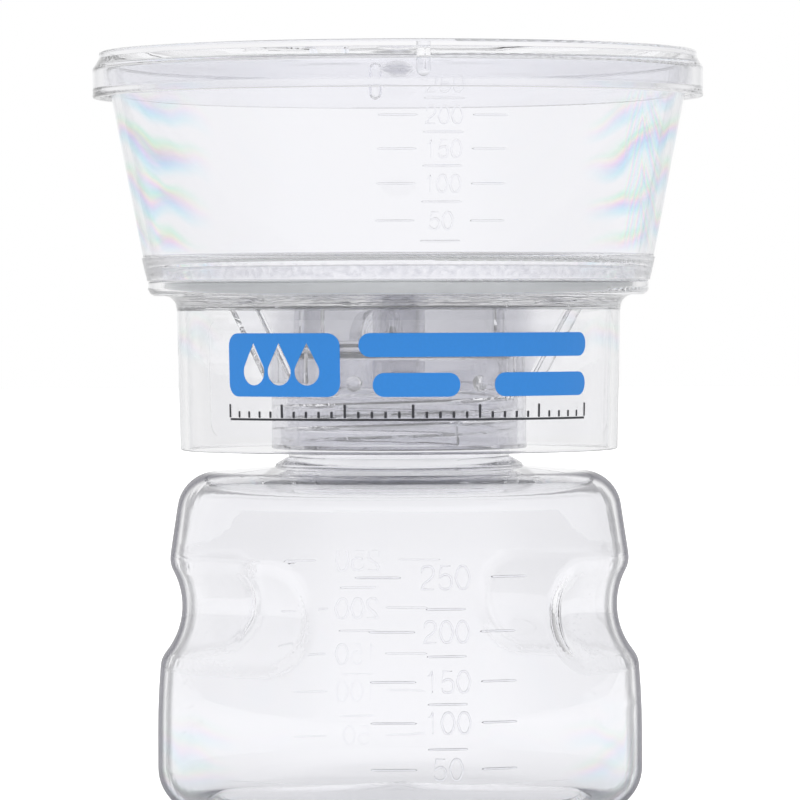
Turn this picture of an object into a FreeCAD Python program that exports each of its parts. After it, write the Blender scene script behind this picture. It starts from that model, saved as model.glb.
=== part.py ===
import FreeCAD, Part
import math
import os
from FreeCAD import Vector

# Disposable vacuum filtration unit: a clear funnel bonded to a filter base that screws
# onto a clear receiver bottle. Millimetres, +Z up, origin on the axis at the surface that
# the bottle stands on. The front, with the graduations and the label, faces -Y, and the
# vacuum port faces +Y.

# Moulded edges: small rounds shared by every piece, and the sink of what is fused on
fine_round = 0.2
edge_round = 0.3
soft_round = 0.5
sink = 0.3

# Receiver bottle
bottle_radius = 46.0
bottle_wall = 1.4
barrel_height = 22.0
barrel_round = 150.0
waist_round = 60.0
waist_radius = 43.5
waist_height = 49.0
shoulder_radius = 41.2
shoulder_height = 64.2
shoulder_rise = 1.4
shoulder_round = 7.5
heel_round = 8.5
foot_inner_radius = 36.0
foot_step = 1.2
foot_round = 2.0
base_push_up = 4.2
grip_height = 39.3
grip_floor_radius = 41.3
grip_round = 14.0
grip_span = 95.0
grip_edge_round = 5.0

# Bottle neck and its thread
neck_bore_radius = 19.0
neck_root_radius = 21.0
neck_height = 20.6
lip_round = 0.5
bead_radius = 23.5
bead_height = 1.8
bead_rim = 0.5
bead_slope = 0.4
thread_pitch = 4.2
thread_depth = 1.2
thread_root_width = 2.4
thread_crest_width = 1.3
thread_turns = 2.25
thread_start_height = 4.4
thread_start_angle = 45.0
thread_gap = 0.3
socket_thread_turns = 2.0
socket_thread_root_width = 2.0
socket_thread_crest_width = 1.2

# Neck gasket
gasket_thickness = 1.0
gasket_radius = 21.8
gasket_gap = 0.05

# Filter base
flange_radius = 47.5
flange_thickness = 2.7
flange_round = 1.5
floor_thickness = 2.0
dish_radius = 44.8
dish_depth = 2.5
plate_above_ledge = 8.9
skirt_top_radius = 42.2
skirt_foot_radius = 41.5
skirt_wall = 1.6
skirt_fillet = 2.4
skirt_end_gap = 1.3
socket_wall = 1.7
socket_end_gap = 1.6
socket_lead_length = 0.8
socket_lead_width = 0.5
ledge_thickness = 1.6
chamber_wall = 2.0
chamber_radius = 18.6
wall_round = 1.0
drain_tube_radius = 5.0
drain_bore_radius = 3.4
drain_lip_round = 0.8
drain_tube_length = 17.0
buttress_angle = 65.0
buttress_width = 9.9
buttress_wall = 1.5
buttress_top_radius = 34.9
buttress_foot_radius = 27.1
buttress_foot_height = 81.5
buttress_edge_round = 0.7
buttress_top_drop = 0.5
pip_angle = 29.0
pip_radius = 1.55
pip_height = 81.5
drain_rib_height = 0.9
drain_rib_width = 1.2
drain_rib_count = 16
drain_rib_end_gap = 1.0

# Vacuum port, hose barb and fibre plug
port_height = 90.1
boss_radius = 5.2
boss_end_radius = 43.4
port_bore_radius = 2.2
shank_radius = 3.2
shank_length = 11.0
shank_gap = 0.05
barb_collar_radius = 4.7
barb_collar_length = 1.6
barb_stem_radius = 3.4
barb_crest_radius = 4.3
barb_first_gap = 1.0
barb_pitch = 3.6
barb_count = 3
barb_bore_radius = 2.0
plug_length = 9.0
plug_gap = 0.05

# Filter stack
seat_gap = 0.05
grid_thickness = 1.2
grid_radius = 44.4
grid_hole_radius = 1.3
grid_ring_count = 4
membrane_thickness = 0.18
membrane_radius = 44.2

# Funnel
funnel_wall = 1.6
funnel_rim_radius = 55.4
funnel_rim_height = 141.0
funnel_foot_radius = 47.7
funnel_step_radius = 48.5
funnel_step_height = 105.1
funnel_step = 0.25
funnel_floor_thickness = 1.4
clamp_lip_width = 1.6
clamp_lip_radius = 43.0

# Lid
lid_radius = 57.9
lid_wall = 1.9
lid_plate_thickness = 1.4
lid_skirt_depth = 5.6
lid_mouth_flare = 0.6
lid_mouth_length = 1.6
lid_shoulder_height = 1.75
lid_shoulder_drop = 1.8
lid_ring_radius = 56.7
lid_ring_wall = 1.7
lid_ring_height = 3.1
lid_gap = 0.05
gate_radius = 3.8
gate_depth = 1.6
gate_swell_round = 3.4
gate_dimple_depth = 0.6
vent_rib_radius = 1.3
vent_rib_proud = 1.1
vent_rib_end_gap = 1.8
vent_rib_top_gap = 0.6
vent_rib_turn = -4.4

# Scale label: a clear film on the front of the skirt
label_thickness = 0.1
label_gap = 0.03
label_foot_height = 71.8
label_top_height = 93.4
label_left_angle = -66.0
label_right_angle = 60.0
label_corner_round = 2.9

# Levels that follow from the sizes above
shoulder_top = shoulder_height + shoulder_rise
lip_height = shoulder_top + neck_height
gasket_foot = lip_height + gasket_gap
ledge_foot = gasket_foot + gasket_thickness + gasket_gap
ledge_top = ledge_foot + ledge_thickness
plate_foot = ledge_foot + plate_above_ledge
plate_top = plate_foot + floor_thickness
flange_top = plate_top + dish_depth
flange_foot = flange_top - flange_thickness
skirt_foot = shoulder_top + bead_height + skirt_end_gap
socket_foot = shoulder_top + bead_height + socket_end_gap
thread_crest_radius = neck_root_radius + thread_depth
socket_radius = thread_crest_radius + thread_gap
socket_outer_radius = socket_radius + socket_wall
chamber_outer_radius = chamber_radius + chamber_wall
grid_foot = plate_top + drain_rib_height + seat_gap
grid_top = grid_foot + grid_thickness
membrane_foot = grid_top + seat_gap
membrane_top = membrane_foot + membrane_thickness
funnel_foot = flange_top + seat_gap
lid_plate_foot = funnel_rim_height + lid_gap
lid_plate_top = lid_plate_foot + lid_plate_thickness
lid_top = lid_plate_foot + lid_ring_height
lid_inner_radius = lid_radius - lid_wall
lid_foot = lid_plate_foot - lid_skirt_depth

AXIS = Vector(0, 0, 1)
CENTRE = Vector(0, 0, 0)


def point(radius, height):
    """A point of a turned section: distance from the axis and height."""
    return Vector(radius, 0, height)


def rounded_section(corners):
    """A closed face from (radius, height, corner round) triples in the XZ plane."""
    count = len(corners)
    edges = []
    cuts = []
    for i, (radius, height, fillet) in enumerate(corners):
        here = point(radius, height)
        before = point(*corners[i - 1][:2]) - here
        after = point(*corners[(i + 1) % count][:2]) - here
        if fillet == 0:
            cuts.append((here, None, here))
            continue
        before.normalize()
        after.normalize()
        half = before.getAngle(after) / 2
        setback = fillet / math.tan(half)
        middle = before + after
        middle.normalize()
        crown = here + middle * (fillet / math.sin(half) - fillet)
        cuts.append((here + before * setback, crown, here + after * setback))
    for i, (start, crown, end) in enumerate(cuts):
        if crown is not None:
            edges.append(Part.Arc(start, crown, end).toShape())
        following = cuts[(i + 1) % count][0]
        if end.distanceToPoint(following) > 1e-6:
            edges.append(Part.LineSegment(end, following).toShape())
    return Part.Face(Part.Wire(edges))


def turned(corners):
    """A solid of revolution about the Z axis."""
    return rounded_section(corners).revolve(CENTRE, AXIS, 360)


def turned_along_y(corners, height):
    """A solid of revolution about an axis along +Y: (distance along Y, radius) corners."""
    face = Part.Face(Part.makePolygon([Vector(0, y, r) for y, r in corners + corners[:1]]))
    solid = face.revolve(CENTRE, Vector(0, 1, 0), 360)
    solid.translate(Vector(0, 0, height))
    return solid


def spun(shape, angle):
    """A copy turned about the Z axis; 0 keeps -Y at the front."""
    copy = shape.copy()
    copy.rotate(CENTRE, AXIS, angle)
    return copy


def tidy(shape):
    """One clean solid from the result of a fuse or a cut."""
    shape = shape.removeSplitter()
    solids = shape.Solids
    return solids[0] if len(solids) == 1 else Part.makeCompound(solids)


def thread(root_radius, crest_radius, root_width, crest_width, turns, start_height):
    """A right-handed ridge that climbs a cylinder from start_height, its foot sunk in it."""
    sunk = sink if crest_radius > root_radius else -sink
    helix = Part.makeHelix(thread_pitch, turns * thread_pitch, root_radius)
    corners = [
        point(root_radius - sunk, -root_width / 2),
        point(root_radius, -root_width / 2),
        point(crest_radius, -crest_width / 2),
        point(crest_radius, crest_width / 2),
        point(root_radius, root_width / 2),
        point(root_radius - sunk, root_width / 2),
    ]
    section = Part.makePolygon(corners + corners[:1])
    ridge = Part.Wire(helix.Edges).makePipeShell([section], True, True)
    ridge.translate(Vector(0, 0, start_height))
    return spun(ridge, thread_start_angle)


def grip_groove(tube_radius):
    """The finger grip on the +X side: a piece of a torus with a half ball at each end."""
    middle = Vector(grip_floor_radius + grip_round, 0, grip_height)
    foot = middle - Vector(0, 0, tube_radius)
    crown = middle + Vector(0, 0, tube_radius)
    disc = Part.Face(Part.Wire(Part.makeCircle(tube_radius, middle, Vector(0, 1, 0))))
    groove = spun(disc.revolve(CENTRE, AXIS, grip_span), -grip_span / 2)
    half_round = Part.Arc(foot, middle + Vector(tube_radius, 0, 0), crown).toShape()
    half_disc = Part.Face(Part.Wire([half_round, Part.LineSegment(crown, foot).toShape()]))
    for side in (-1, 1):
        half_ball = half_disc.revolve(middle, AXIS, side * 180)
        groove = groove.fuse(spun(half_ball, side * grip_span / 2))
    return groove.removeSplitter()


def distance_to_grip_centre(p):
    """How far a point is from the centre line of the nearer grip's groove."""
    orbit = grip_floor_radius + grip_round
    angle = math.degrees(math.atan2(abs(p.y), abs(p.x)))
    if angle <= grip_span / 2:
        return math.hypot(math.hypot(p.x, p.y) - orbit, p.z - grip_height)
    end = math.radians(grip_span / 2)
    ball = Vector(orbit * math.cos(end), orbit * math.sin(end), grip_height)
    return Vector(abs(p.x), abs(p.y), p.z).distanceToPoint(ball)


def grip_rims(shape, tube_radius):
    """The edges along which the grips' grooves run out into the barrel."""
    round_kinds = ("Part::GeomToroid", "Part::GeomSphere")
    rims = []
    for edge in shape.Edges:
        first, last = edge.FirstParameter, edge.LastParameter
        points = [edge.valueAt(first + (last - first) * k / 6) for k in range(1, 6)]
        if any(abs(distance_to_grip_centre(p) - tube_radius) > 2e-3 for p in points):
            continue
        kinds = [face.Surface.TypeId for face in shape.ancestorsOfType(edge, Part.Face)]
        if any(kind not in round_kinds for kind in kinds):
            rims.append(edge)
    return rims


def gripped(body, tube_radius):
    """A turned body with both finger grips sunk in it and their rims rounded."""
    groove = grip_groove(tube_radius)
    body = body.cut(groove).cut(spun(groove, 180))
    return body.makeFillet(grip_edge_round, grip_rims(body, tube_radius))


def make_receiver_bottle():
    wall = bottle_wall
    bead_top = shoulder_top + bead_height
    outside = gripped(turned([
        (0, base_push_up, 0),
        (foot_inner_radius - foot_step, foot_step, foot_round),
        (foot_inner_radius, 0, soft_round),
        (bottle_radius, 0, heel_round),
        (bottle_radius, barrel_height, barrel_round),
        (waist_radius, waist_height, waist_round),
        (shoulder_radius, shoulder_height, shoulder_round),
        (bead_radius, shoulder_top, edge_round),
        (bead_radius, shoulder_top + bead_rim, edge_round),
        (neck_root_radius + bead_slope, bead_top, edge_round),
        (neck_root_radius, bead_top, fine_round),
        (neck_root_radius, lip_height, lip_round),
        (0, lip_height, 0),
    ]), grip_round)
    hollow = gripped(turned([
        (0, base_push_up + wall, 0),
        (foot_inner_radius - foot_step, foot_step + wall, foot_round),
        (foot_inner_radius + 0.5 * wall, wall, soft_round),
        (bottle_radius - wall, wall, heel_round - wall),
        (bottle_radius - wall, barrel_height, barrel_round),
        (waist_radius - wall, waist_height, waist_round),
        (shoulder_radius - wall, shoulder_height - wall, shoulder_round - wall),
        (neck_bore_radius, shoulder_top - wall, 1.5 * wall),
        (neck_bore_radius, lip_height - lip_round, 0),
        (neck_bore_radius + 2 * lip_round, lip_height + lip_round, 0),
        (0, lip_height + lip_round, 0),
    ]), grip_round + wall)
    ridge = thread(neck_root_radius, thread_crest_radius, thread_root_width,
                   thread_crest_width, thread_turns, shoulder_top + thread_start_height)
    return outside.cut(hollow).fuse(ridge)


def make_neck_gasket():
    return turned([
        (neck_bore_radius, gasket_foot, fine_round),
        (gasket_radius, gasket_foot, fine_round),
        (gasket_radius, gasket_foot + gasket_thickness, fine_round),
        (neck_bore_radius, gasket_foot + gasket_thickness, fine_round),
    ])


def wedge(width, inset):
    """The space under the plate from the chamber out to a sloping face, width across."""
    root = (chamber_radius + chamber_outer_radius) / 2
    roof = plate_foot + 0.5 * floor_thickness
    foot = buttress_foot_height - inset
    slope = ((buttress_top_radius - buttress_foot_radius)
             / (plate_foot - buttress_top_drop - buttress_foot_height))
    corners = [
        point(root, roof),
        point(buttress_top_radius - inset, roof),
        point(buttress_top_radius - inset, plate_foot - buttress_top_drop),
        point(buttress_foot_radius - inset - slope * inset, foot),
        point(socket_outer_radius - 0.5 * socket_wall, foot),
        point(socket_outer_radius - 0.5 * socket_wall, ledge_top - 0.5 * ledge_thickness),
        point(root, ledge_top - 0.5 * ledge_thickness),
    ]
    block = Part.Face(Part.makePolygon(corners + corners[:1]))
    block.translate(Vector(0, -width / 2, 0))
    return block.extrude(Vector(0, width, 0))


def buttress():
    """A hollow prop between the plate and the neck socket, open below, with soft edges."""
    block = wedge(buttress_width, 0)
    soft = []
    for edge in block.Edges:
        box = edge.BoundBox
        sloping = box.XLength > 1 and box.ZLength > 1 and box.YLength < 1e-6
        outer_foot = box.YLength > 1 and abs(box.XMin - buttress_foot_radius) < 1e-6
        if sloping or outer_foot:
            soft.append(edge)
    block = block.makeFillet(buttress_edge_round, soft)
    return block.cut(wedge(buttress_width - 2 * buttress_wall, buttress_wall))


def pip():
    """A small domed pip on the neck socket's wall."""
    return Part.makeSphere(pip_radius, Vector(0, -socket_outer_radius, pip_height))


def drain_rib():
    """One low rib on the dish's floor that holds the grid up and leads to the drain."""
    start = drain_bore_radius + 2 * drain_rib_width
    length = grid_radius - drain_rib_end_gap - start
    return Part.makeBox(length, drain_rib_width, drain_rib_height + sink,
                        Vector(start, -drain_rib_width / 2, plate_top - sink))


def make_filter_base():
    drain_foot = plate_top - drain_tube_length
    base = turned([
        (drain_bore_radius, drain_foot, edge_round),
        (drain_tube_radius, drain_foot, soft_round),
        (drain_tube_radius, plate_foot, wall_round),
        (chamber_radius, plate_foot, wall_round),
        (chamber_radius, ledge_foot, edge_round),
        (socket_radius, ledge_foot, edge_round),
        (socket_radius, socket_foot + socket_lead_length, 0),
        (socket_radius + socket_lead_width, socket_foot, 0),
        (socket_outer_radius, socket_foot, edge_round),
        (socket_outer_radius, ledge_top, wall_round),
        (chamber_outer_radius, ledge_top, soft_round),
        (chamber_outer_radius, plate_foot, wall_round),
        (skirt_top_radius - skirt_wall, plate_foot, wall_round),
        (skirt_foot_radius - skirt_wall, skirt_foot, edge_round),
        (skirt_foot_radius, skirt_foot, soft_round),
        (skirt_top_radius, flange_foot, skirt_fillet),
        (flange_radius, flange_foot, flange_round),
        (flange_radius, flange_top, edge_round),
        (dish_radius, flange_top, fine_round),
        (dish_radius, plate_top, soft_round),
        (drain_bore_radius, plate_top, drain_lip_round),
    ])
    added = [spun(buttress(), side * buttress_angle - 90) for side in (-1, 1)]
    added += [spun(pip(), side * pip_angle) for side in (-1, 1)]
    added += [spun(drain_rib(), k * 360 / drain_rib_count) for k in range(drain_rib_count)]
    boss_start = (chamber_radius + chamber_outer_radius) / 2
    boss = Part.makeCylinder(boss_radius, boss_end_radius - boss_start,
                             Vector(0, boss_start, port_height), Vector(0, 1, 0))
    end_rim = [e for e in boss.Edges if e.BoundBox.YMin > boss_end_radius - 1e-6]
    boss = boss.makeFillet(soft_round, end_rim)
    added.append(boss.cut(Part.makeCylinder(socket_radius, ledge_foot)))
    added.append(thread(socket_radius, neck_root_radius + thread_gap,
                        socket_thread_root_width, socket_thread_crest_width,
                        socket_thread_turns,
                        shoulder_top + thread_start_height + thread_pitch / 2))
    base = base.fuse(added)
    passage = Part.makeCylinder(port_bore_radius, boss_end_radius,
                                Vector(0, 0.7 * chamber_radius, port_height), Vector(0, 1, 0))
    seat = Part.makeCylinder(shank_radius + shank_gap, 2 * shank_length,
                             Vector(0, boss_end_radius - shank_length, port_height),
                             Vector(0, 1, 0))
    return base.cut(passage).cut(seat)


def make_hose_barb():
    """A straight barbed nozzle, bonded by its shank into the base's port."""
    start = boss_end_radius - shank_length + seat_gap
    collar = boss_end_radius + seat_gap
    corners = [
        (start, barb_bore_radius),
        (start, shank_radius),
        (collar, shank_radius),
        (collar, barb_collar_radius),
        (collar + barb_collar_length, barb_collar_radius),
        (collar + barb_collar_length, barb_stem_radius),
    ]
    y = collar + barb_collar_length + barb_first_gap
    for _ in range(barb_count):
        corners.append((y, barb_stem_radius))
        corners.append((y, barb_crest_radius))
        y += barb_pitch
        corners.append((y, barb_stem_radius))
    corners.append((y, barb_bore_radius))
    return turned_along_y(corners, port_height)


def make_port_plug():
    start = boss_end_radius + barb_collar_length
    return Part.makeCylinder(barb_bore_radius - plug_gap, plug_length,
                             Vector(0, start, port_height), Vector(0, 1, 0))


def make_support_grid():
    grid = turned([
        (0, grid_foot, 0),
        (grid_radius, grid_foot, fine_round),
        (grid_radius, grid_top, fine_round),
        (0, grid_top, 0),
    ])
    spacing = (clamp_lip_radius - 4 * grid_hole_radius) / grid_ring_count
    holes = []
    for ring in range(1, grid_ring_count + 1):
        count = 6 * ring
        for k in range(count):
            hole = Part.makeCylinder(grid_hole_radius, 3 * grid_thickness,
                                     Vector(ring * spacing, 0, grid_foot - grid_thickness))
            holes.append(spun(hole, (k + 0.5) * 360 / count))
    return grid.cut(Part.makeCompound(holes))


def make_membrane():
    return turned([
        (0, membrane_foot, 0),
        (membrane_radius, membrane_foot, 0),
        (membrane_radius, membrane_top, 0),
        (0, membrane_top, 0),
    ])


def make_funnel():
    """The clear sample funnel; its foot's inner lip clamps the membrane's edge."""
    lip_foot = membrane_top + seat_gap
    floor = funnel_step_height - funnel_floor_thickness
    return turned([
        (funnel_foot_radius, funnel_foot, edge_round),
        (funnel_step_radius + funnel_step, funnel_step_height, 0),
        (funnel_step_radius, funnel_step_height + funnel_step, 0),
        (funnel_rim_radius, funnel_rim_height, soft_round),
        (funnel_rim_radius - funnel_wall, funnel_rim_height, soft_round),
        (funnel_step_radius - funnel_wall, funnel_step_height, wall_round),
        (clamp_lip_radius, funnel_step_height, soft_round),
        (clamp_lip_radius, lip_foot, fine_round),
        (clamp_lip_radius + clamp_lip_width, lip_foot, fine_round),
        (clamp_lip_radius + clamp_lip_width, floor, fine_round),
        (funnel_foot_radius - funnel_wall, floor, fine_round),
        (funnel_foot_radius - funnel_wall, funnel_foot, fine_round),
    ])


def vent_rib():
    """A half-round upright rib on the lid's skirt, with a ball end below."""
    foot = lid_foot + vent_rib_end_gap + vent_rib_radius
    place = Vector(0, vent_rib_radius - vent_rib_proud - lid_radius, foot)
    rib = Part.makeCylinder(vent_rib_radius, lid_top - vent_rib_top_gap - foot, place)
    return rib.fuse(Part.makeSphere(vent_rib_radius, place))


def make_lid():
    inner = lid_inner_radius
    shoulder = lid_plate_foot + lid_shoulder_height
    ring_inner = lid_ring_radius - lid_ring_wall
    lid = turned([
        (0, lid_plate_foot - gate_depth, 0),
        (0.5 * gate_radius, lid_plate_foot - gate_depth, gate_swell_round),
        (gate_radius, lid_plate_foot, soft_round),
        (inner, lid_plate_foot, soft_round),
        (inner, lid_foot + lid_mouth_length, wall_round),
        (inner + lid_mouth_flare, lid_foot, edge_round),
        (lid_radius, lid_foot, edge_round),
        (lid_radius, shoulder - lid_shoulder_drop, soft_round),
        (lid_ring_radius, shoulder, fine_round),
        (lid_ring_radius, lid_top, soft_round),
        (ring_inner, lid_top, soft_round),
        (ring_inner, lid_plate_top, soft_round),
        (0.8 * gate_radius, lid_plate_top, soft_round),
        (0.4 * gate_radius, lid_plate_top - gate_dimple_depth, soft_round),
        (0, lid_plate_top - gate_dimple_depth, 0),
    ])
    inside = Part.makeCylinder(inner + 0.5 * lid_wall, lid_top)
    for side in (0, 180):
        lid = lid.fuse(spun(vent_rib(), vent_rib_turn + side).cut(inside))
    return lid


def make_label():
    """A thin clear film that follows the skirt's taper, with rounded corners."""
    span = label_right_angle - label_left_angle
    slope = (skirt_top_radius - skirt_foot_radius) / (flange_foot - skirt_foot)

    def skin(height, offset):
        radius = skirt_foot_radius + slope * (height - skirt_foot)
        return point(radius + label_gap + offset, height)

    corners = [
        skin(label_foot_height, 0),
        skin(label_foot_height, label_thickness),
        skin(label_top_height, label_thickness),
        skin(label_top_height, 0),
    ]
    strip = Part.Face(Part.makePolygon(corners + corners[:1]))
    film = spun(strip.revolve(CENTRE, AXIS, span), label_left_angle - 90)
    size = label_corner_round
    turn = math.degrees(size / skirt_top_radius)
    for angle, side in ((label_left_angle + turn, -1), (label_right_angle - turn, 1)):
        for height, up in ((label_foot_height + size, -1), (label_top_height - size, 1)):
            corner = Part.makeBox(size + 1, flange_radius, size + 1)
            corner.translate(Vector(0 if side > 0 else -size - 1, -flange_radius,
                                    height if up > 0 else height - size - 1))
            rod = Part.makeCylinder(size, flange_radius, Vector(0, 0, height),
                                    Vector(0, -1, 0))
            film = film.cut(spun(corner.cut(rod), angle))
    return film


PIECES = {
    "receiver_bottle": make_receiver_bottle,
    "neck_gasket": make_neck_gasket,
    "filter_base": make_filter_base,
    "hose_barb": make_hose_barb,
    "port_plug": make_port_plug,
    "support_grid": make_support_grid,
    "membrane": make_membrane,
    "funnel": make_funnel,
    "scale_label": make_label,
    "lid": make_lid,
}

os.makedirs("parts", exist_ok=True)
for name, make in PIECES.items():
    shape = tidy(make())
    shape.exportStep(f"parts/{name}.step")
    print(f"{name}: {len(shape.Solids)} solid, {shape.Volume:.0f} mm3, valid {shape.isValid()}")
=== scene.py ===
import math

import bmesh
import bpy
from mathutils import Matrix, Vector
from mathutils.bvhtree import BVHTree


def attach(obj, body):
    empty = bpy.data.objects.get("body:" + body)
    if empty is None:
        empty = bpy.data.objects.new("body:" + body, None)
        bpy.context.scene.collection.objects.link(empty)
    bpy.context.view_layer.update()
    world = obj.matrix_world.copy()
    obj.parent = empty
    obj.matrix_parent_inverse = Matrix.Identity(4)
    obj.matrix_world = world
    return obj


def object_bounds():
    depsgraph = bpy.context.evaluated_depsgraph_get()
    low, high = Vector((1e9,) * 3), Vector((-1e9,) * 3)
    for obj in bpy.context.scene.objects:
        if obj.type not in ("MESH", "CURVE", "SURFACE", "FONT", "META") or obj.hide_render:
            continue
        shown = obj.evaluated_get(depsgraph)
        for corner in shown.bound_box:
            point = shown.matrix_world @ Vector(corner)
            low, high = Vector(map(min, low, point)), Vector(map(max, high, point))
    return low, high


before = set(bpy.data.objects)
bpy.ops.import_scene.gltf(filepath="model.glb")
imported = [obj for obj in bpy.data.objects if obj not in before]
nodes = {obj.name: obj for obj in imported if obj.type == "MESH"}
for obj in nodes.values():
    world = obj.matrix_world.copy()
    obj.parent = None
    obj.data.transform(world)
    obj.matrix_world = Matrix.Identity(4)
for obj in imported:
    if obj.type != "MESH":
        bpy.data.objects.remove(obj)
cad_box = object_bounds()

# Sizes in millimetres, on the unit's axis, with the front towards -Y
MM = 0.001
RIDGE_RISE = 0.10           # how far a moulded graduation line stands proud
RIDGE_WIDTH = 0.42
DASH_TAPER = 0.4            # length over which a dash runs out at each end
DIGIT_ADVANCE = 0.78        # from one digit to the next, in digit heights
AIR = 0.02                  # hairline that keeps a clear piece off the wall that it sits on
INK = 0.02                  # thickness of the printed ink
LABEL_RADIUS = 42.0         # that the label's flat print is wrapped round
SLICE = 1.0                 # width of the upright slices that let the print bend
SCALE_TURN = 2.0            # degrees that the bottle stopped turned past the front

# The studio's level axis towards its backdrop, and the level way square to it
AHEAD = (0.156, 0.988, 0.0)
ACROSS = (0.988, -0.156, 0.0)

# Stress colours in the clear walls, counted from the plane that runs ahead
FRINGES_UP = 118.0          # in a metre of height
FRINGES_OUT = -41.0         # in a metre to either side
FRINGE_SWIRL = 1.5          # how far the flow's unevenness moves them
ARCH_PLACE = 45.2           # the upright arch on the right: how far across it stands,
ARCH_HALF_WIDTH = 3.5       # half its width,
FRINGES_IN_ARCH = 480.0     # and the fringes in a metre from its middle

# Settings that several nodes share
PLUS = {"operation": "ADD"}
MINUS = {"operation": "SUBTRACT"}
TIMES = {"operation": "MULTIPLY"}
TIMES_PLUS = {"operation": "MULTIPLY_ADD"}
SIZE_OF = {"operation": "ABSOLUTE"}
SMALLER_OF = {"operation": "MINIMUM"}
TURN_OF = {"operation": "FRACT"}
LENGTH_OF = {"operation": "LENGTH"}
SHARE_ALONG = {"operation": "DOT_PRODUCT"}
SOFT_STEP = {"interpolation_type": "SMOOTHSTEP"}
BLEND = {"data_type": "RGBA"}
SHADE = {"data_type": "RGBA", "blend_type": "MULTIPLY"}


# ---------------------------------------------------------------- small tools

def linear(code):
    """The linear colour of an sRGB hex code, with full alpha."""
    values = [int(code[i:i + 2], 16) / 255 for i in (1, 3, 5)]
    return [v / 12.92 if v <= 0.04045 else ((v + 0.055) / 1.055) ** 2.4 for v in values] + [1]


def add_node(tree, kind, settings=(), **inputs):
    """A node with its settings. An input is a value, an output of another node, or another
    node, which then gives its first output; i6 is the input with the number 6."""
    node = tree.nodes.new(kind)
    for name, value in dict(settings).items():
        setattr(node, name, value)
    for name, value in inputs.items():
        key = int(name[1:]) if name[0] == "i" and name[1:].isdigit() else name.replace("_", " ")
        if isinstance(value, bpy.types.Node):
            value = value.outputs[0]
        if isinstance(value, bpy.types.NodeSocket):
            tree.links.new(value, node.inputs[key])
        else:
            node.inputs[key].default_value = value
    return node


def new_material(name):
    material = bpy.data.materials.new(name)
    material.use_nodes = True
    tree = material.node_tree
    tree.nodes.clear()
    return material, tree


def as_piece(name, bm, material, body, smooth=True):
    """A finished object at the origin from a bmesh, riding on a body."""
    mesh = bpy.data.meshes.new(name)
    bm.to_mesh(mesh)
    bm.free()
    for face in mesh.polygons:
        face.use_smooth = smooth
    mesh.materials.append(material)
    obj = bpy.data.objects.new(name, mesh)
    bpy.context.scene.collection.objects.link(obj)
    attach(obj, body)
    return obj


def mesh_of(curve):
    """The mesh that a curve makes."""
    holder = bpy.data.objects.new("curve", curve)
    bpy.context.scene.collection.objects.link(holder)
    mesh = bpy.data.meshes.new_from_object(
        holder.evaluated_get(bpy.context.evaluated_depsgraph_get()))
    bpy.data.objects.remove(holder)
    return mesh


def paint(name, material):
    """Gives a node of the solid model its finish."""
    obj = nodes[name]
    obj.data.materials.clear()
    obj.data.materials.append(material)


# ---------------------------------------------------------------- materials

def cells(size):
    """A texture's scale, from the size of one of its cells in millimetres."""
    return 1 / (size * MM)


def radius_and_height(tree, place):
    """How far a point is from the unit's axis, and its height, in metres."""
    parts = add_node(tree, "ShaderNodeSeparateXYZ", Vector=place).outputs
    flat = add_node(tree, "ShaderNodeCombineXYZ", X=parts["X"], Y=parts["Y"])
    radius = add_node(tree, "ShaderNodeVectorMath", LENGTH_OF, i0=flat).outputs["Value"]
    return radius, parts["Z"]


def soft_mask(tree, strength, *bounds):
    """A mask of the given strength where every value has passed from its low to its high
    bound, in soft steps. With the low bound above the high one a step falls instead."""
    mask = strength
    for value, low, high in bounds:
        step = add_node(tree, "ShaderNodeMapRange", SOFT_STEP, Value=value, i1=low, i2=high)
        mask = add_node(tree, "ShaderNodeMath", TIMES, i0=mask, i1=step)
    return mask


def shaded(tree, colour, mask, shade):
    """A colour that is multiplied by a shade where the mask is 1."""
    return add_node(tree, "ShaderNodeMix", SHADE, i0=mask, i6=colour, i7=shade).outputs[2]


def fringe_order(tree, place, across, side, height):
    """Counts the stress fringes: they climb inwards, swirl with the plastic's flow, and stand
    up in one narrow arch over a flow front, right of the front."""
    flow = add_node(tree, "ShaderNodeTexNoise", Vector=place, Scale=cells(22.2),
                    Detail=1.5)
    order = add_node(tree, "ShaderNodeMath", TIMES, i0=flow, i1=FRINGE_SWIRL)
    order = add_node(tree, "ShaderNodeMath", TIMES_PLUS, i0=height, i1=FRINGES_UP, i2=order)
    order = add_node(tree, "ShaderNodeMath", TIMES_PLUS, i0=side, i1=FRINGES_OUT, i2=order)
    parts = add_node(tree, "ShaderNodeSeparateXYZ", Vector=place).outputs
    behind = soft_mask(tree, 1.0, (parts["Y"], -12 * MM, 0.0))
    off = add_node(tree, "ShaderNodeMath", MINUS, i0=across, i1=ARCH_PLACE * MM)
    off = add_node(tree, "ShaderNodeMath", SIZE_OF, i0=off)
    off = add_node(tree, "ShaderNodeMath", PLUS, i0=off, i1=behind)
    off = add_node(tree, "ShaderNodeMath", SMALLER_OF, i0=off, i1=ARCH_HALF_WIDTH * MM)
    return add_node(tree, "ShaderNodeMath", TIMES_PLUS, i0=off, i1=FRINGES_IN_ARCH, i2=order)


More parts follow.
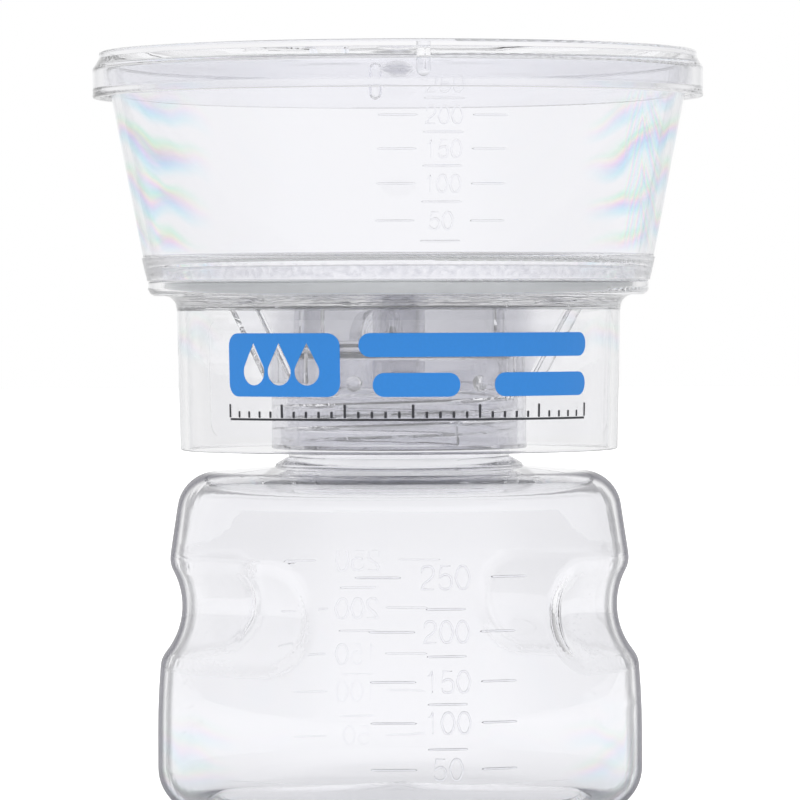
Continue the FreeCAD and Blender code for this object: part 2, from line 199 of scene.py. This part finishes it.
def stress_colours(tree, place, colour, foot, top, near, far, strength):
    """Lays the pastel fringes of moulding stress over a colour, in a clear wall's two sides:
    between two heights, and from nought near the middle to full far from it."""
    _, height = radius_and_height(tree, place)
    across = add_node(tree, "ShaderNodeVectorMath", SHARE_ALONG, i0=place, i1=ACROSS)
    across = across.outputs["Value"]
    side = add_node(tree, "ShaderNodeMath", SIZE_OF, i0=across)
    order = fringe_order(tree, place, across, side, height)
    turn = add_node(tree, "ShaderNodeMath", TURN_OF, i0=order)
    fringe = add_node(tree, "ShaderNodeValToRGB", Fac=turn)
    stops = fringe.color_ramp.elements
    for share, code in ((0.0, "#FFFFFF"), (0.18, "#C9F5FF"), (0.30, "#D2E2FF"),
                        (0.40, "#FBD2F8"), (0.50, "#FFF6DC"), (0.60, "#D2FCE6"),
                        (0.74, "#FDFDFD")):
        stop = stops[0] if share == 0.0 else stops.new(share)
        stop.color = linear(code)
    stops[-1].position, stops[-1].color = 1.0, linear("#FFFFFF")
    mask = soft_mask(tree, strength, (side, near * MM, far * MM),
                     (height, foot * MM, (foot + 4) * MM), (height, top * MM, (top - 12) * MM))
    return shaded(tree, colour, mask, fringe)


def clear_moulding(name, tint, edge_shade, wave, finish=None, ior=1.55,
                   shaded_rim=(0.72, 0.88), rim_radius=0.0, edge_shade_share=0.0):
    """Injection-moulded clear plastic: water clear with a high gloss and a faint waviness from the
    mould's flow. Where the eye looks along the wall its colour turns to the edge colour, painted
    shade for dark edges; with a radius given only further out than that, where a share of matt
    grey in the edge colour can be mixed in as more painted shade."""
    material, tree = new_material(name)
    place = add_node(tree, "ShaderNodeTexCoord").outputs["Object"]
    flow = add_node(tree, "ShaderNodeTexNoise", Vector=place, Scale=cells(wave), Detail=1.0)
    bump = add_node(tree, "ShaderNodeBump", Strength=0.06, Distance=0.4 * MM, Height=flow)
    facing = add_node(tree, "ShaderNodeLayerWeight", Blend=0.5).outputs["Facing"]
    # painted shade: the colour darkens towards the edge colour where the eye looks along the wall
    edge_shade_mask = soft_mask(tree, 1.0, (facing, *shaded_rim))
    if rim_radius:
        radius, _ = radius_and_height(tree, place)
        edge_shade_mask = soft_mask(tree, edge_shade_mask, (radius, rim_radius * MM, (rim_radius + 4) * MM))
    colour = add_node(tree, "ShaderNodeMix", BLEND, i0=edge_shade_mask, i6=linear(tint), i7=linear(edge_shade))
    colour, roughness = colour.outputs[2], 0.0
    if finish:
        colour, roughness = finish(tree, place, colour)
    clear = add_node(tree, "ShaderNodeBsdfPrincipled", Base_Color=colour, Roughness=roughness,
                     IOR=ior, Transmission_Weight=1.0, Normal=bump)
    # painted shade: a matt grey in the edge colour, mixed in where the eye looks along the wall
    if edge_shade_share:
        share = add_node(tree, "ShaderNodeMath", TIMES, i0=edge_shade_mask, i1=edge_shade_share)
        painted_edge_grey = add_node(tree, "ShaderNodeBsdfDiffuse", Color=linear(edge_shade))
        clear = add_node(tree, "ShaderNodeMixShader", i0=share, i1=clear, i2=painted_edge_grey)
    light = add_node(tree, "ShaderNodeLightPath").outputs
    open_to_lamps = add_node(tree, "ShaderNodeBsdfTransparent", Color=linear("#F4F5F6"))
    both = add_node(tree, "ShaderNodeMixShader", i0=light["Is Shadow Ray"], i1=clear,
                    i2=open_to_lamps)
    add_node(tree, "ShaderNodeOutputMaterial", Surface=both)
    return material


def bottle_finish(tree, place, colour):
    """Fine bubbles in one side of the barrel, drawn 0.2 mm wide so that they show, and faint
    stress colours at the heel."""
    colour = stress_colours(tree, place, colour, 0, 22, 30, 43, 0.35)
    bubble = add_node(tree, "ShaderNodeTexVoronoi", Vector=place, Scale=cells(0.667))
    cloud = add_node(tree, "ShaderNodeTexNoise", Vector=place, Scale=cells(8.33), Detail=2.0)
    parts = add_node(tree, "ShaderNodeSeparateXYZ", Vector=place).outputs
    bubbles = soft_mask(tree, 1.0, (bubble, 0.17, 0.10), (cloud, 0.52, 0.62),
                        (parts["X"], 22 * MM, 30 * MM), (parts["Y"], 0.0, -8 * MM),
                        (parts["Z"], 26 * MM, 34 * MM), (parts["Z"], 58 * MM, 52 * MM))
    return shaded(tree, colour, bubbles, linear("#7C7E86")), 0.0


def base_finish(tree, place, colour):
    """The neck socket and the chamber are painted greyer than the skirt, which is thinner: painted
    shade for the many walls that the light crosses there.
    """
    radius, _ = radius_and_height(tree, place)
    painted_core_shade = soft_mask(tree, 1.0, (radius, 28 * MM, 24 * MM))
    # painted shade over the socket and the chamber
    colour = shaded(tree, colour, painted_core_shade, linear("#E6E6E9"))
    return stress_colours(tree, place, colour, 84, 100, 34, 42, 0.35), 0.0


def funnel_finish(tree, place, colour):
    """Stress colours in the two sides, a frosted weld at the foot, and a painted shade line along
    the rim's top, where the lid's skirt closes over it.
    """
    colour = stress_colours(tree, place, colour, 105.2, 140, 36, 48, 0.85)
    _, height = radius_and_height(tree, place)
    grain = add_node(tree, "ShaderNodeTexNoise", Vector=place, Scale=cells(1.11), Detail=4.0)
    frost = soft_mask(tree, 1.0, (height, 101.4 * MM, 101.8 * MM),
                      (height, 104.2 * MM, 103.6 * MM), (grain, 0.40, 0.70))
    colour = shaded(tree, colour, frost, linear("#EDEDF0"))
    # painted shade: a grey line along the top of the rim, under the lid's skirt
    shaded_rim = soft_mask(tree, 1.0, (height, 140.6 * MM, 140.9 * MM))
    colour = shaded(tree, colour, shaded_rim, linear("#B9BABF"))
    return colour, add_node(tree, "ShaderNodeMath", TIMES, i0=frost, i1=0.2)


def lid_finish(tree, place, colour):
    """The moulding gate in the middle of the plate is a little greyer."""
    radius, _ = radius_and_height(tree, place)
    gate = soft_mask(tree, 1.0, (radius, 4.0 * MM, 3.4 * MM))
    return shaded(tree, colour, gate, linear("#D4D4D8")), 0.0


def plain(name, colour, roughness, grain, depth, glow=0.0):
    """An opaque or milky plastic, rubber, ink or fibre, with a grain of a size and a depth in
    millimetres; glow is its share of light let through."""
    material, tree = new_material(name)
    place = add_node(tree, "ShaderNodeTexCoord").outputs["Object"]
    noise = add_node(tree, "ShaderNodeTexNoise", Vector=place, Scale=cells(grain), Detail=3.0)
    range_of_shade = add_node(tree, "ShaderNodeMapRange", Value=noise, i3=0.93, i4=1.05)
    shade = shaded(tree, linear(colour), 1.0, range_of_shade)
    bump = add_node(tree, "ShaderNodeBump", Strength=0.3, Distance=depth * MM, Height=noise)
    body = add_node(tree, "ShaderNodeBsdfPrincipled", Base_Color=shade, Roughness=roughness,
                    Normal=bump)
    if glow:
        through = add_node(tree, "ShaderNodeBsdfTranslucent", Color=shade)
        body = add_node(tree, "ShaderNodeMixShader", i0=glow, i1=body, i2=through)
    add_node(tree, "ShaderNodeOutputMaterial", Surface=body)
    return material


# General-purpose polystyrene from polished moulds. The bottle is thick at its sides, where its
# dark
# outline is painted shade: a darker edge colour and a share of matt grey; the marks lie in thin
# ridges, which bend the light less.
bottle_clear = clear_moulding("polystyrene_bottle", "#FBFBFD", "#66656F", 16.7, bottle_finish,
                              shaded_rim=(0.74, 0.84), rim_radius=34, edge_shade_share=0.55)
base_clear = clear_moulding("polystyrene_base", "#FBFBFC", "#DFE0E5", 12.5, base_finish)
funnel_clear = clear_moulding("polystyrene_funnel", "#FBFBFD", "#D6D8DE", 20, funnel_finish)
lid_clear = clear_moulding("polystyrene_lid", "#FBFBFD", "#E2E3E8", 14.3, lid_finish)
mark_clear = clear_moulding("polystyrene_raised_marks", "#FAFAFC", "#CED0D9", 3.3, ior=1.42)
mark_faint = clear_moulding("polystyrene_shallow_marks", "#FCFCFD", "#E4E5E9", 3.3, ior=1.25)
# Cast polypropylene film: as clear as the walls, and too thin to show but at its edges
film_clear = clear_moulding("polypropylene_label_film", "#FEFEFF", "#DDE0E4", 3.3)
# Cast polymer membrane: paper white and matt. Its pores are drawn some 250 times
# too coarse, as a grain that just shows.
membrane_white = plain("cast_polymer_membrane", "#F4F4F1", 0.8, 0.11, 0.02)
# Filled polystyrene: milky white with a satin skin
grid_white = plain("polystyrene_grid", "#E6E8E9", 0.4, 2.5, 0.02)
# Moulded silicone: milky grey with a soft sheen
silicone = plain("silicone_gasket", "#C9CCCE", 0.5, 2.0, 0.02)
# Cotton wadding: white and fluffy, drawn as lumps because single fibres are too fine
plug_fibre = plain("cotton_plug", "#F1F1EE", 0.9, 0.4, 0.3)
# Screen-printed ink on film: flat strong colour that lets a little light through
ink_blue = plain("blue_label_ink", "#2C8CE0", 0.45, 0.4, 0.005, glow=0.2)
ink_dark = plain("dark_label_ink", "#2F3036", 0.45, 0.4, 0.005, glow=0.1)

for name, material in {
    "receiver_bottle": bottle_clear,
    "neck_gasket": silicone,
    "filter_base": base_clear,
    "hose_barb": base_clear,
    "port_plug": plug_fibre,
    "support_grid": grid_white,
    "membrane": membrane_white,
    "funnel": funnel_clear,
    "scale_label": film_clear,
    "lid": lid_clear,
}.items():
    paint(name, material)


# ---------------------------------------------------------------- marks moulded on the walls

STROKES = {  # centre lines of the moulded digits, one unit high; True marks a corner
    "0": [[(0, 0.5), (0.29, 0.12), (0.29, -0.12), (0, -0.5), (-0.29, -0.12), (-0.29, 0.12)]],
    "1": [[(-0.15, 0.28), (-0.01, 0.34), (0.06, 0.5, True), (0.06, -0.5)]],
    "2": [[(-0.27, 0.2), (-0.2, 0.42), (0.0, 0.5), (0.21, 0.42), (0.27, 0.22), (0.15, -0.02),
           (-0.14, -0.25), (-0.28, -0.5, True), (0.28, -0.5)]],
    "5": [[(0.24, 0.5, True), (-0.18, 0.5, True), (-0.25, 0.0, True), (0.0, 0.13),
           (0.21, 0.04), (0.28, -0.18), (0.2, -0.42), (0.0, -0.5), (-0.19, -0.44),
           (-0.28, -0.27)]],
}


def stroke_curve(lines, closed):
    """A curve object in the XZ plane with a round section, from lists of points in mm."""
    curve = bpy.data.curves.new("strokes", "CURVE")
    curve.dimensions = "3D"
    curve.resolution_u = 5
    curve.bevel_depth = RIDGE_WIDTH / 2 * MM
    curve.bevel_resolution = 3
    curve.use_fill_caps = True
    for points, loop in zip(lines, closed):
        spline = curve.splines.new("BEZIER")
        spline.bezier_points.add(len(points) - 1)
        spline.use_cyclic_u = loop
        for knot, (x, z, *corner) in zip(spline.bezier_points, points):
            knot.co = (x * MM, 0, z * MM)
            knot.handle_left_type = knot.handle_right_type = "VECTOR" if corner else "AUTO"
        if not loop:
            spline.bezier_points[0].radius = spline.bezier_points[-1].radius = 0.25
    return curve


def number_strokes(text, height, centre_x, centre_z):
    """The centre lines of a number, as (points, closed) pairs."""
    advance = DIGIT_ADVANCE * height
    start = centre_x - advance * (len(text) - 1) / 2
    found = []
    for i, digit in enumerate(text):
        for points in STROKES[digit]:
            placed = [(start + i * advance + x * height, centre_z + z * height, *corner)
                      for x, z, *corner in points]
            found.append((placed, digit == "0"))
    return found


def dash(left, right, z):
    """A straight line whose two ends run out softly."""
    ends = (left, left + DASH_TAPER, right - DASH_TAPER, right)
    return [(x, z, True) for x in ends], False


def surface_of(node):
    """A search tree of a node's surface, for finding where its outer wall is."""
    mesh = nodes[node].data
    return BVHTree.FromPolygons([v.co for v in mesh.vertices],
                                [p.vertices for p in mesh.polygons])


def wall_radius(tree, azimuth, z):
    """The radius of the outermost surface at an azimuth (0 at the front, in radians)."""
    way = Vector((math.sin(azimuth), -math.cos(azimuth), 0))
    well_outside = 200 * MM
    hit = tree.ray_cast(way * well_outside + Vector((0, 0, z)), -way)[0]
    return math.hypot(hit.x, hit.y)


def graduation(name, strokes, node, azimuth, material, body):
    """Raised graduation marks wrapped on a node's outer wall round a given azimuth."""
    tree = surface_of(node)
    bm = bmesh.new()
    bm.from_mesh(mesh_of(stroke_curve(*zip(*strokes))))
    bmesh.ops.remove_doubles(bm, verts=bm.verts, dist=1e-7)
    half_width = RIDGE_WIDTH / 2 * MM
    for vert in bm.verts:
        x, y, z = vert.co
        base = wall_radius(tree, math.radians(azimuth), z)
        angle = math.radians(azimuth) + x / base
        crown = RIDGE_RISE * MM * (min(0.0, y) / half_width) ** 2
        out = wall_radius(tree, angle, z) + AIR * MM + crown
        vert.co = (out * math.sin(angle), -out * math.cos(angle), z)
    bmesh.ops.recalc_face_normals(bm, faces=bm.faces)
    return as_piece(name, bm, material, body)


def scale_marks(rows, halves, top_digit, digit, top_dashes, dashes):
    """Numbers with a dash on each side, the top one larger, and short dashes between them."""
    strokes = []
    for i, (text, z) in enumerate(rows):
        height, pair = (top_digit, top_dashes) if i == 0 else (digit, dashes)
        strokes += number_strokes(text, height, 0, z)
        strokes += [dash(left, right, z) for left, right in pair]
    strokes += [dash(-3.7, 3.7, z) for z in halves]
    return strokes


bottle_scale = scale_marks(
    [("250", 46.3), ("200", 36.4), ("150", 27.3), ("100", 19.8), ("50", 11.3)],
    [40.5, 31.9, 23.2, 15.0], 4.2, 3.9,
    ((-16.6, -8.2), (8.8, 16.2)), ((-14.2, -5.8), (6.4, 13.5)))
funnel_scale = scale_marks(
    [("250", 136.2), ("200", 130.5), ("150", 124.4), ("100", 118.1), ("50", 111.4)],
    [133.5, 127.4, 121.3, 114.8, 107.7], 3.2, 3.1,
    ((-15.2, -8.4), (8.4, 15.2)), ((-12.0, -4.9), (5.4, 12.0)))

graduation("bottle_scale_front", bottle_scale, "receiver_bottle", SCALE_TURN, mark_clear,
           "receiver")
graduation("bottle_scale_back", bottle_scale, "receiver_bottle", SCALE_TURN + 180, mark_faint,
           "receiver")
graduation("funnel_scale_front", funnel_scale, "funnel", 0, mark_faint,
           "filter")


# ---------------------------------------------------------------- label print

def flat_shape(outlines):
    """A flat filled shape in the XZ plane from outlines in mm; one inside another is a window."""
    curve = bpy.data.curves.new("outline", "CURVE")
    curve.dimensions = "2D"
    curve.fill_mode = "BOTH"
    for outline in outlines:
        spline = curve.splines.new("POLY")
        spline.points.add(len(outline) - 1)
        spline.use_cyclic_u = True
        for point, (x, z) in zip(spline.points, outline):
            point.co = (x * MM, z * MM, 0, 1)
    bm = bmesh.new()
    bm.from_mesh(mesh_of(curve))
    for vert in bm.verts:
        vert.co = (vert.co.x, 0, vert.co.y)
    return bm


def rounded_bar(left, right, low, high, corner):
    """The outline of an upright rectangle with rounded corners."""
    outline = []
    for cx, cz, start in ((right - corner, high - corner, 0), (left + corner, high - corner, 90),
                          (left + corner, low + corner, 180), (right - corner, low + corner, 270)):
        for k in range(7):
            a = math.radians(start + 15 * k)
            outline.append((cx + corner * math.cos(a), cz + corner * math.sin(a)))
    return outline


def drop(cx, low, high, half_width):
    """A water drop: a round foot that runs up to a point."""
    foot = low + half_width
    outline = [(cx, high)]
    for k in range(25):
        a = math.radians(150 + 10 * k)
        outline.append((cx + half_width * math.cos(a), foot + half_width * math.sin(a)))
    return outline


def print_on_label(name, shapes, material):
    """Flat ink shapes laid on the label film's outer face."""
    tree = surface_of("scale_label")
    whole = bmesh.new()
    for outlines in shapes:
        bm = flat_shape(outlines)
        left = min(x for x, _ in outlines[0])
        right = max(x for x, _ in outlines[0])
        for k in range(1, int((right - left) / SLICE) + 1):
            bmesh.ops.bisect_plane(bm, geom=bm.verts[:] + bm.edges[:] + bm.faces[:],
                                   plane_co=((left + k * SLICE) * MM, 0, 0),
                                   plane_no=(1, 0, 0))
        mesh = bpy.data.meshes.new("shape")
        bm.to_mesh(mesh)
        bm.free()
        whole.from_mesh(mesh)
        bpy.data.meshes.remove(mesh)
    for vert in whole.verts:
        x, _, z = vert.co
        angle = x / (LABEL_RADIUS * MM)
        out = wall_radius(tree, angle, z) + AIR * MM
        vert.co = (out * math.sin(angle), -out * math.cos(angle), z)
    bmesh.ops.recalc_face_normals(whole, faces=whole.faces)
    for face in whole.faces:
        middle = face.calc_center_median()
        if face.normal.dot((middle.x, middle.y, 0)) < 0:
            face.normal_flip()
    bmesh.ops.solidify(whole, geom=whole.faces[:], thickness=-INK * MM)
    return as_piece(name, whole, material, "filter", smooth=False)


def ruled_scale(left, right, foot):
    """A fine line with upright ticks about 2.5 mm apart, every fifth one taller."""
    count = int((right - left) / 2.5)
    ticks = [[rounded_bar(left, right, foot, foot + 0.4, 0.15)]]
    for k in range(count + 1):
        x = left + k * (right - left) / count
        tall = 3.0 if k % 5 == 0 else 1.7
        ticks.append([rounded_bar(x - 0.25, x + 0.25, foot + 0.5, foot + tall, 0.15)])
    return ticks


# A field with three drop windows, and three bars that leave the skirt's two pips in sight
blue_shapes = [
    [rounded_bar(-42.0, -17.5, 79.3, 91.0, 2.4)]
    + [drop(x, 81.4, 89.2, 2.5) for x in (-35.6, -29.8, -24.0)],
    [rounded_bar(-14.0, 34.0, 86.6, 91.0, 2.1)],
    [rounded_bar(-11.4, 4.8, 79.3, 83.7, 2.1)],
    [rounded_bar(11.6, 34.0, 79.3, 83.7, 2.1)],
]
print_on_label("label_print_blue", blue_shapes, ink_blue)
print_on_label("label_print_dark", ruled_scale(-42.0, 34.0, 74.9), ink_dark)


# ---------------------------------------------------------------- studio

def studio_world():
    """A white studio: dimmer ceiling and wings, and dark cards that only reflections show."""
    world = bpy.data.worlds.new("studio")
    bpy.context.scene.world = world
    world.use_nodes = True
    tree = world.node_tree
    tree.nodes.clear()
    way = add_node(tree, "ShaderNodeTexCoord").outputs["Generated"]
    parts = add_node(tree, "ShaderNodeSeparateXYZ", Vector=way).outputs
    ceiling = add_node(tree, "ShaderNodeMapRange", SOFT_STEP, Value=parts["Z"],
                       i1=0.25, i2=0.85, i3=0.98, i4=0.62)
    aside = add_node(tree, "ShaderNodeMath", SIZE_OF, i0=parts["X"])
    wings = add_node(tree, "ShaderNodeMapRange", SOFT_STEP, Value=aside,
                     i1=0.55, i2=1.0, i3=1.0, i4=0.5)
    room = add_node(tree, "ShaderNodeMath", TIMES, i0=ceiling, i1=wings)
    # Reflections alone: a ray that a clear wall bends counts as a glossy ray too
    light = add_node(tree, "ShaderNodeLightPath").outputs
    mirrored = add_node(tree, "ShaderNodeMath", MINUS, i0=light["Is Glossy Ray"],
                        i1=light["Is Transmission Ray"])
    cards = add_node(tree, "ShaderNodeMath", TIMES, i0=mirrored, i1=-0.3)
    ahead = add_node(tree, "ShaderNodeVectorMath", SHARE_ALONG, i0=way, i1=AHEAD)
    ahead = ahead.outputs["Value"]
    cards = soft_mask(tree, cards, (ahead, 0.99, 0.92), (ahead, 0.4, 0.7))
    left_over = add_node(tree, "ShaderNodeMath", PLUS, i0=cards, i1=1.0)
    room = add_node(tree, "ShaderNodeMath", TIMES, i0=room, i1=left_over)
    level = add_node(tree, "ShaderNodeMix", i0=light["Is Glossy Ray"], i2=1.0, i3=room)
    back = add_node(tree, "ShaderNodeBackground", Color=linear("#FFFFFF"), Strength=level)
    add_node(tree, "ShaderNodeOutputWorld", Surface=back)


def studio_floor():
    """A wide floor of matt white paint that keeps the object's soft shadow. It shines a
    little to the eye, and less through clear walls, to meet the white of the room."""
    material, tree = new_material("painted_studio_floor")
    light = add_node(tree, "ShaderNodeLightPath").outputs
    direct = add_node(tree, "ShaderNodeMath", TIMES, i0=light["Is Camera Ray"], i1=0.55)
    lift = add_node(tree, "ShaderNodeMath", TIMES_PLUS, i0=light["Is Transmission Ray"],
                    i1=0.08, i2=direct)
    coat = add_node(tree, "ShaderNodeBsdfPrincipled", Base_Color=linear("#EDEDED"),
                    Roughness=0.9, Emission_Color=linear("#FFFFFF"), Emission_Strength=lift)
    add_node(tree, "ShaderNodeOutputMaterial", Surface=coat)
    bm = bmesh.new()
    bmesh.ops.create_circle(bm, cap_ends=True, segments=64, radius=6.0)
    mesh = bpy.data.meshes.new("studio_floor")
    bm.to_mesh(mesh)
    bm.free()
    mesh.materials.append(material)
    floor = bpy.data.objects.new("studio_floor", mesh)
    bpy.context.scene.collection.objects.link(floor)
    floor.location.z = cad_box[0].z - 0.2 * MM


def softbox(name, place, size, power):
    """A soft lamp aimed at the unit's middle, which nothing clear or glossy shows."""
    lamp = bpy.data.lights.new(name, "AREA")
    lamp.shape = "RECTANGLE"
    lamp.size, lamp.size_y = size
    lamp.energy = power
    obj = bpy.data.objects.new(name, lamp)
    obj.location = place
    aim = Vector((0, 0, 70 * MM)) - obj.location
    obj.rotation_euler = aim.to_track_quat("-Z", "Y").to_euler()
    obj.visible_glossy = obj.visible_transmission = False
    bpy.context.scene.collection.objects.link(obj)


def camera():
    """Level with the filter base, a little to the left of the front, through a long lens."""
    distance, turn, roll = 1111 * MM, math.radians(9.0), math.radians(0.2)
    eye_height, aim = 95.2 * MM, Vector((0.2, 0, 78.1)) * MM
    data = bpy.data.cameras.new("camera")
    data.sensor_width = 36
    data.lens = 263.2
    data.clip_start, data.clip_end = 0.05, 50
    obj = bpy.data.objects.new("camera", data)
    obj.location = (-distance * math.sin(turn), -distance * math.cos(turn), eye_height)
    obj.rotation_euler = (aim - obj.location).to_track_quat("-Z", "Y").to_euler()
    obj.rotation_euler.rotate_axis("Z", -roll)
    bpy.context.scene.collection.objects.link(obj)
    bpy.context.scene.camera = obj


studio_world()
studio_floor()
softbox("softbox_left", (-1.0, -0.9, 0.9), (0.8, 0.8), 5)
softbox("softbox_right", (1.1, -0.7, 0.7), (0.6, 0.8), 3)
camera()
bpy.context.scene.view_settings.view_transform = "Standard"

# Light crosses many clear walls on its way through the unit
cycles = bpy.context.scene.cycles
cycles.max_bounces = cycles.transmission_bounces = 64
cycles.glossy_bounces = cycles.transparent_max_bounces = 64
